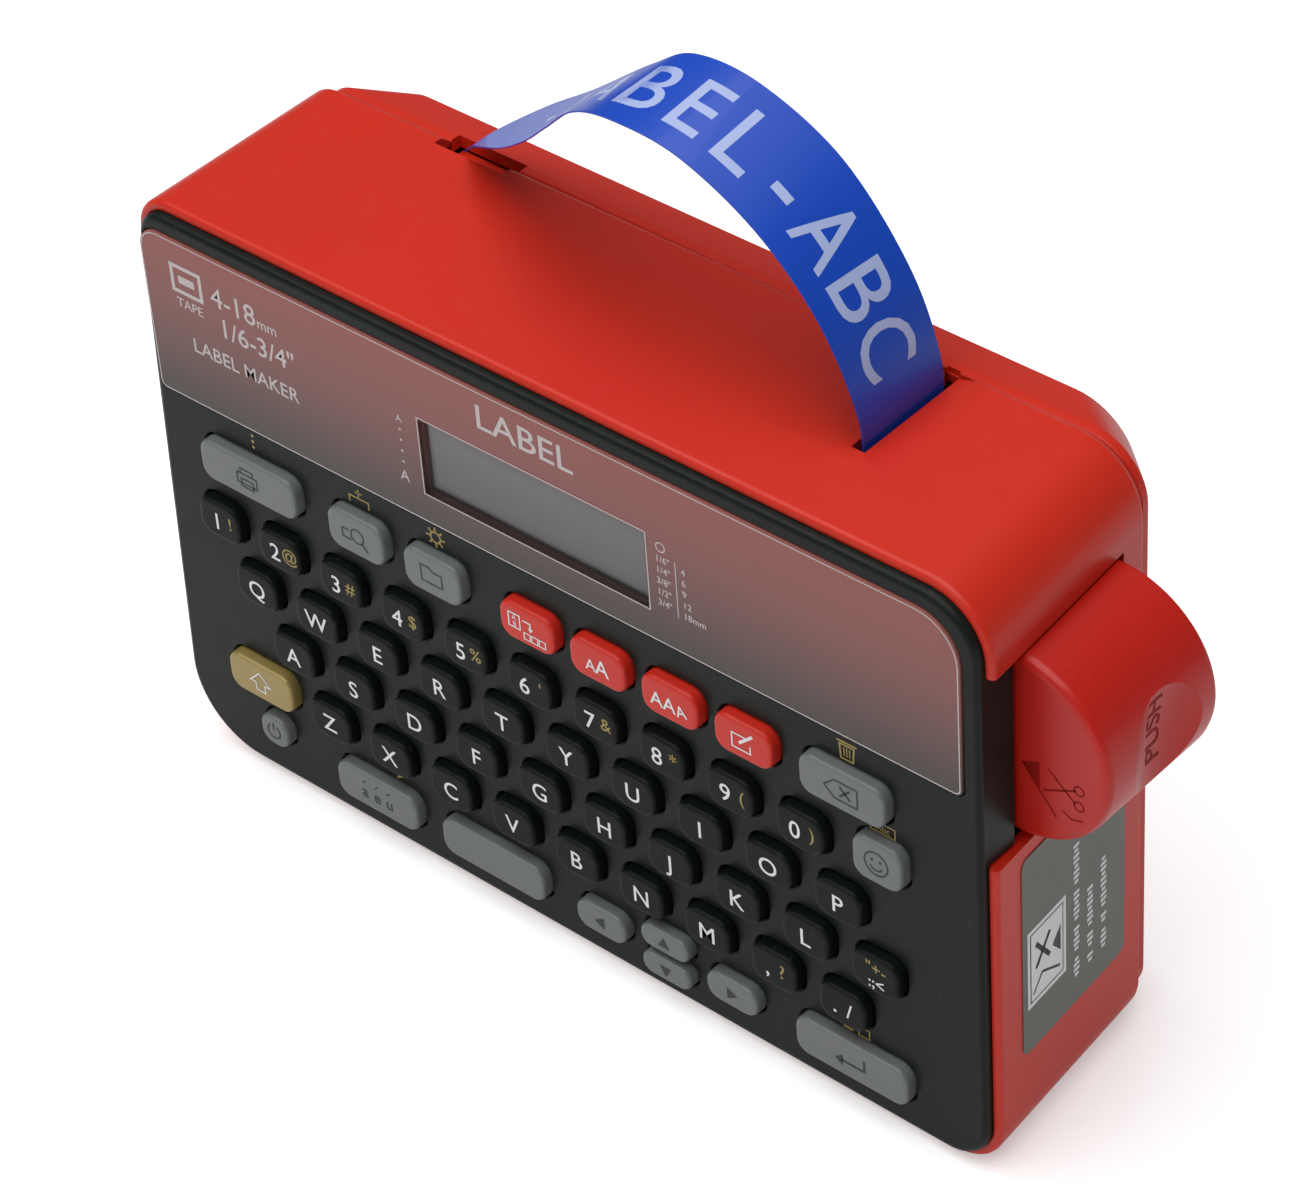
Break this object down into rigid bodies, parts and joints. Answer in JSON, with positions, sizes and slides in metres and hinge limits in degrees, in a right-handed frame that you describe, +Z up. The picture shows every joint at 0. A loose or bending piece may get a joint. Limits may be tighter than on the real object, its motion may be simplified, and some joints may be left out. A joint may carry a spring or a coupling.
{
  "type": "label maker",
  "caption": "Handheld label maker with keyboard, display window, tape exit slot, squeeze lever for the cutter and a rear cover over the drive and cassette.",
  "frame": {"origin": "centre of the overall box in plan, on the surface that the label maker stands on", "axes": "+X to the right seen from the keyboard side, +Y to the back, +Z up"},
  "size_m": [0.18, 0.0518, 0.1447],
  "materials": {
    "red_shell": "satin moulded plastic",
    "black_face": "satin black plastic",
    "tinted_lens": "printed tinted window",
    "display_glass": "unlit liquid crystal display",
    "grey_rubber": "matt silicone",
    "circuit_board": "green solder mask",
    "dark_plastic": "fine matt plastic",
    "steel": "plain steel",
    "spring_steel": "bright wire and strip",
    "blade_steel": "ground steel",
    "motor_can": "drawn steel can",
    "brass": "turned brass",
    "white_gear": "natural acetal",
    "black_rubber": "ground rubber",
    "ivory_cassette": "fine matt plastic",
    "ribbon_film": "thin film",
    "blue_tape": "glossy laminated tape",
    "cell_wrap": "shrink sleeve",
    "side_label": "printed adhesive label",
    "black_key": "satin plastic, printed legend",
    "grey_key": "satin plastic, printed legend",
    "red_key": "satin plastic, printed legend",
    "gold_key": "satin plastic, printed legend"
  },
  "bodies": {
    "housing": {"front_shell": "red_shell", "face_panel": "black_face", "lens": "tinted_lens", "display": "display_glass", "keypad_mat": "grey_rubber", "main_board": "circuit_board", "chassis": "dark_plastic", "case_screws": "steel", "side_label": "side_label", "batteries": "cell_wrap", "battery_contacts": "spring_steel", "motor": "motor_can", "print_head": "steel", "tape_cassette": "ivory_cassette", "tape_web": "blue_tape", "label_tape": "blue_tape", "lever_pin": "steel", "lever_spring": "spring_steel", "cutter_anvil": "steel"},
    "rear_cover": {"rear_cover": "red_shell"},
    "motor_pinion": {"motor_pinion": "brass"},
    "large_idler": {"large_idler": "white_gear"},
    "transfer_gear": {"transfer_gear": "white_gear"},
    "platen_roller": {"platen_roller": "black_rubber"},
    "ribbon_spindle": {"ribbon_spindle": "white_gear"},
    "tape_roll": {"tape_roll": "blue_tape"},
    "ribbon_supply": {"ribbon_supply": "ribbon_film"},
    "cutter_lever": {"cutter_lever": "red_shell"},
    "cutter": {"cutter_carriage": "dark_plastic", "cutter_blade": "blade_steel"},
    "keys_digits": {"keys_digits": "black_key"},
    "keys_upper": {"keys_upper": "black_key"},
    "keys_middle": {"keys_middle": "black_key"},
    "keys_lower": {"keys_lower": "black_key"},
    "key_print": {"key_print": "grey_key"},
    "key_preview": {"key_preview": "grey_key"},
    "key_file": {"key_file": "grey_key"},
    "key_frame": {"key_frame": "red_key"},
    "key_size": {"key_size": "red_key"},
    "key_style": {"key_style": "red_key"},
    "key_edit": {"key_edit": "red_key"},
    "key_delete": {"key_delete": "grey_key"},
    "key_symbol": {"key_symbol": "grey_key"},
    "key_shift": {"key_shift": "gold_key"},
    "key_power": {"key_power": "grey_key"},
    "key_accent": {"key_accent": "grey_key"},
    "key_space": {"key_space": "grey_key"},
    "key_left": {"key_left": "grey_key"},
    "key_up": {"key_up": "grey_key"},
    "key_down": {"key_down": "grey_key"},
    "key_right": {"key_right": "grey_key"},
    "key_enter": {"key_enter": "grey_key"}
  },
  "joints": [
    {"name": "rear_cover_pull", "type": "slide", "parent": "housing", "child": "rear_cover", "axis": [0, 1, 0], "range_m": [0, 0.03]},
    {"name": "idler_spin", "type": "hinge", "parent": "housing", "child": "large_idler", "pos_m": [0.02276, -0.0138, 0.03905], "axis": [0, 1, 0], "continuous": true},
    {"name": "pinion_spin", "type": "hinge", "parent": "housing", "child": "motor_pinion", "pos_m": [0.00381, -0.0138, 0.03022], "axis": [0, 1, 0], "continuous": true},
    {"name": "transfer_spin", "type": "hinge", "parent": "housing", "child": "transfer_gear", "pos_m": [0.0305, -0.0138, 0.06606], "axis": [0, 1, 0], "continuous": true},
    {"name": "platen_spin", "type": "hinge", "parent": "housing", "child": "platen_roller", "pos_m": [0.04395, -0.0138, 0.081], "axis": [0, 1, 0], "continuous": true},
    {"name": "ribbon_spin", "type": "hinge", "parent": "housing", "child": "ribbon_spindle", "pos_m": [0.01011, -0.0138, 0.07348], "axis": [0, 1, 0], "continuous": true},
    {"name": "tape_roll_spin", "type": "hinge", "parent": "housing", "child": "tape_roll", "pos_m": [-0.0125, 0.0039, 0.078], "axis": [0, 1, 0], "continuous": true},
    {"name": "ribbon_supply_spin", "type": "hinge", "parent": "housing", "child": "ribbon_supply", "pos_m": [0.0125, 0.0039, 0.091], "axis": [0, 1, 0], "continuous": true},
    {"name": "lever_press", "type": "hinge", "parent": "housing", "child": "cutter_lever", "pos_m": [0.064, -0.0032, 0.0874], "axis": [0, 1, 0], "range_deg": [0, 9], "stiffness_Nm_per_rad": 0.12, "springref_deg": -14.32},
    {"name": "cutter_slide", "type": "slide", "parent": "housing", "child": "cutter", "axis": [1, 0, 0], "range_m": [0, 0.0019]},
    {"name": "keys_digits_press", "type": "slide", "parent": "housing", "child": "keys_digits", "axis": [0, 1, 0], "range_m": [0, 0.001], "stiffness_N_per_m": 1200},
    {"name": "keys_upper_press", "type": "slide", "parent": "housing", "child": "keys_upper", "axis": [0, 1, 0], "range_m": [0, 0.001], "stiffness_N_per_m": 1200},
    {"name": "keys_middle_press", "type": "slide", "parent": "housing", "child": "keys_middle", "axis": [0, 1, 0], "range_m": [0, 0.001], "stiffness_N_per_m": 1200},
    {"name": "keys_lower_press", "type": "slide", "parent": "housing", "child": "keys_lower", "axis": [0, 1, 0], "range_m": [0, 0.001], "stiffness_N_per_m": 1200},
    {"name": "key_print_press", "type": "slide", "parent": "housing", "child": "key_print", "axis": [0, 1, 0], "range_m": [0, 0.001], "stiffness_N_per_m": 150},
    {"name": "key_preview_press", "type": "slide", "parent": "housing", "child": "key_preview", "axis": [0, 1, 0], "range_m": [0, 0.001], "stiffness_N_per_m": 150},
    {"name": "key_file_press", "type": "slide", "parent": "housing", "child": "key_file", "axis": [0, 1, 0], "range_m": [0, 0.001], "stiffness_N_per_m": 150},
    {"name": "key_frame_press", "type": "slide", "parent": "housing", "child": "key_frame", "axis": [0, 1, 0], "range_m": [0, 0.001], "stiffness_N_per_m": 150},
    {"name": "key_size_press", "type": "slide", "parent": "housing", "child": "key_size", "axis": [0, 1, 0], "range_m": [0, 0.001], "stiffness_N_per_m": 150},
    {"name": "key_style_press", "type": "slide", "parent": "housing", "child": "key_style", "axis": [0, 1, 0], "range_m": [0, 0.001], "stiffness_N_per_m": 150},
    {"name": "key_edit_press", "type": "slide", "parent": "housing", "child": "key_edit", "axis": [0, 1, 0], "range_m": [0, 0.001], "stiffness_N_per_m": 150},
    {"name": "key_delete_press", "type": "slide", "parent": "housing", "child": "key_delete", "axis": [0, 1, 0], "range_m": [0, 0.001], "stiffness_N_per_m": 150},
    {"name": "key_symbol_press", "type": "slide", "parent": "housing", "child": "key_symbol", "axis": [0, 1, 0], "range_m": [0, 0.001], "stiffness_N_per_m": 150},
    {"name": "key_shift_press", "type": "slide", "parent": "housing", "child": "key_shift", "axis": [0, 1, 0], "range_m": [0, 0.001], "stiffness_N_per_m": 150},
    {"name": "key_power_press", "type": "slide", "parent": "housing", "child": "key_power", "axis": [0, 1, 0], "range_m": [0, 0.001], "stiffness_N_per_m": 150},
    {"name": "key_accent_press", "type": "slide", "parent": "housing", "child": "key_accent", "axis": [0, 1, 0], "range_m": [0, 0.001], "stiffness_N_per_m": 150},
    {"name": "key_space_press", "type": "slide", "parent": "housing", "child": "key_space", "axis": [0, 1, 0], "range_m": [0, 0.001], "stiffness_N_per_m": 150},
    {"name": "key_left_press", "type": "slide", "parent": "housing", "child": "key_left", "axis": [0, 1, 0], "range_m": [0, 0.001], "stiffness_N_per_m": 150},
    {"name": "key_up_press", "type": "slide", "parent": "housing", "child": "key_up", "axis": [0, 1, 0], "range_m": [0, 0.001], "stiffness_N_per_m": 150},
    {"name": "key_down_press", "type": "slide", "parent": "housing", "child": "key_down", "axis": [0, 1, 0], "range_m": [0, 0.001], "stiffness_N_per_m": 150},
    {"name": "key_right_press", "type": "slide", "parent": "housing", "child": "key_right", "axis": [0, 1, 0], "range_m": [0, 0.001], "stiffness_N_per_m": 150},
    {"name": "key_enter_press", "type": "slide", "parent": "housing", "child": "key_enter", "axis": [0, 1, 0], "range_m": [0, 0.001], "stiffness_N_per_m": 150}
  ],
  "couplings": [
    {"joint": "pinion_spin", "follows": "idler_spin", "ratio": -3.3333},
    {"joint": "transfer_spin", "follows": "idler_spin", "ratio": -1.3333},
    {"joint": "platen_spin", "follows": "idler_spin", "ratio": 2},
    {"joint": "ribbon_spin", "follows": "idler_spin", "ratio": 1.6667},
    {"joint": "tape_roll_spin", "follows": "idler_spin", "ratio": -0.6667},
    {"joint": "ribbon_supply_spin", "follows": "idler_spin", "ratio": -1.7857},
    {"joint": "cutter_slide", "follows": "lever_press", "m_per_rad": 0.012}
  ]
}
